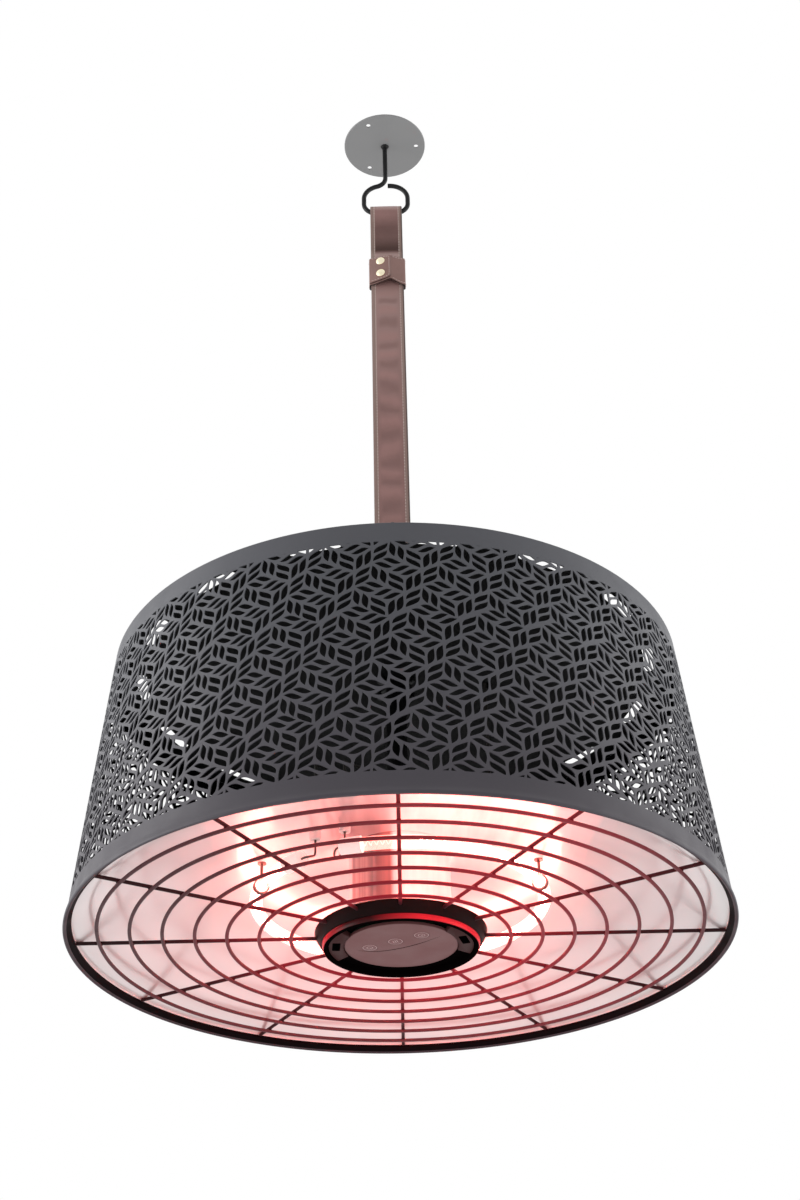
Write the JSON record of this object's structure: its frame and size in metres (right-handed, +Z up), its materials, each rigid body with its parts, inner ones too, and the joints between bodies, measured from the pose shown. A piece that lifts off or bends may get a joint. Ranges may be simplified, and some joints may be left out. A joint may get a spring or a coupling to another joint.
{
  "type": "hanging infrared heater",
  "caption": "Drum-shaped infrared heater with a perforated shade, ring-shaped heating tube, wire grille and a hub with press keys, hung from a ceiling hook on a leather strap.",
  "frame": {"origin": "centre of the ceiling plate's upper face, which lies against the ceiling", "axes": "+Z up, out of the ceiling plate's upper face; the object hangs along -Z; the pictured front is on the -Y side; +X to the right seen from the front"},
  "size_m": [0.6031, 0.6032, 1.0563],
  "materials": {
    "ceiling_paint": "satin powder coat",
    "hook_paint": "satin black paint",
    "strap_leather": "semi-matt brown leather with stitched edges",
    "keeper_leather": "semi-matt brown leather with stitched edges",
    "brass": "polished",
    "bracket_paint": "satin black paint",
    "zinc": "bright zinc",
    "cover_paint": "satin black powder coat",
    "shade_paint": "satin anthracite powder coat",
    "rim_paint": "satin dark powder coat",
    "reflector_aluminium": "polished",
    "ceramic": "unglazed ceramic",
    "quartz": "clear quartz, glowing",
    "filament": "glowing orange",
    "lead_wire": "bare nickel wire",
    "spring_wire": "bright wire",
    "grille_wire": "satin dark powder coat",
    "hub_black": "gloss black",
    "accent_red": "translucent red",
    "bezel_black": "gloss black",
    "panel_mauve": "fine matt",
    "window_dark": "dark infrared window",
    "board_green": "circuit board",
    "box_plastic": "fine grained",
    "terminal_plastic": "cream",
    "gland_plastic": "smooth black nylon",
    "seal_rubber": "soft black",
    "lead_sleeve": "woven glass sleeve, dark brown"
  },
  "bodies": {
    "ceiling_mount": {"ceiling_plate": "ceiling_paint", "hook": "hook_paint"},
    "strap": {"strap": "strap_leather"},
    "keeper": {"strap_keeper": "keeper_leather", "keeper_snaps": "brass"},
    "lamp": {"hanger_bracket": "bracket_paint", "hanger_pin": "zinc", "pin_clip": "zinc", "bracket_bolts": "zinc", "bracket_nuts": "zinc", "top_cover": "cover_paint", "cover_screws": "cover_paint", "shade_wall": "shade_paint", "rim_ring": "rim_paint", "stem_tube": "bracket_paint", "stem_nuts": "zinc", "stem_screws": "zinc", "reflector": "reflector_aluminium", "reflector_column": "reflector_aluminium", "feed_bushings": "ceramic", "heat_tube": "quartz", "heat_filament": "filament", "tube_end_caps": "ceramic", "tube_leads": "lead_wire", "tube_clips": "spring_wire", "grille_rings": "grille_wire", "grille_spokes": "grille_wire", "hub_housing": "hub_black", "accent_ring": "accent_red", "hub_bezel": "bezel_black", "panel_ears": "panel_mauve", "sensor_windows": "window_dark", "control_panel": "panel_mauve", "circuit_board": "board_green", "terminal_box": "box_plastic", "box_lid": "box_plastic", "lid_screws": "zinc", "terminal_block": "terminal_plastic", "cable_gland": "gland_plastic", "gland_seal": "seal_rubber", "gland_nut": "gland_plastic", "gland_locknut": "gland_plastic", "inner_leads": "lead_sleeve"},
    "key_power": {"key_power": "panel_mauve"},
    "key_heat": {"key_heat": "panel_mauve"},
    "key_timer": {"key_timer": "panel_mauve"}
  },
  "joints": [
    {"name": "strap_swing", "type": "hinge", "parent": "ceiling_mount", "child": "strap", "pos_m": [0, 0, -0.11715], "axis": [1, 0, 0], "range_deg": [-35, 35]},
    {"name": "keeper_slide", "type": "slide", "parent": "strap", "child": "keeper", "axis": [0, 0, 1], "range_m": [-0.4, 0.01]},
    {"name": "lamp_swing", "type": "hinge", "parent": "strap", "child": "lamp", "pos_m": [0, 0, -0.752], "axis": [1, 0, 0], "range_deg": [-30, 30]},
    {"name": "key_power_press", "type": "slide", "parent": "lamp", "child": "key_power", "axis": [0, 0, 1], "range_m": [0, 0.0008], "stiffness_N_per_m": 500, "springref_m": -0.0008},
    {"name": "key_heat_press", "type": "slide", "parent": "lamp", "child": "key_heat", "axis": [0, 0, 1], "range_m": [0, 0.0008], "stiffness_N_per_m": 500, "springref_m": -0.0008},
    {"name": "key_timer_press", "type": "slide", "parent": "lamp", "child": "key_timer", "axis": [0, 0, 1], "range_m": [0, 0.0008], "stiffness_N_per_m": 500, "springref_m": -0.0008}
  ]
}
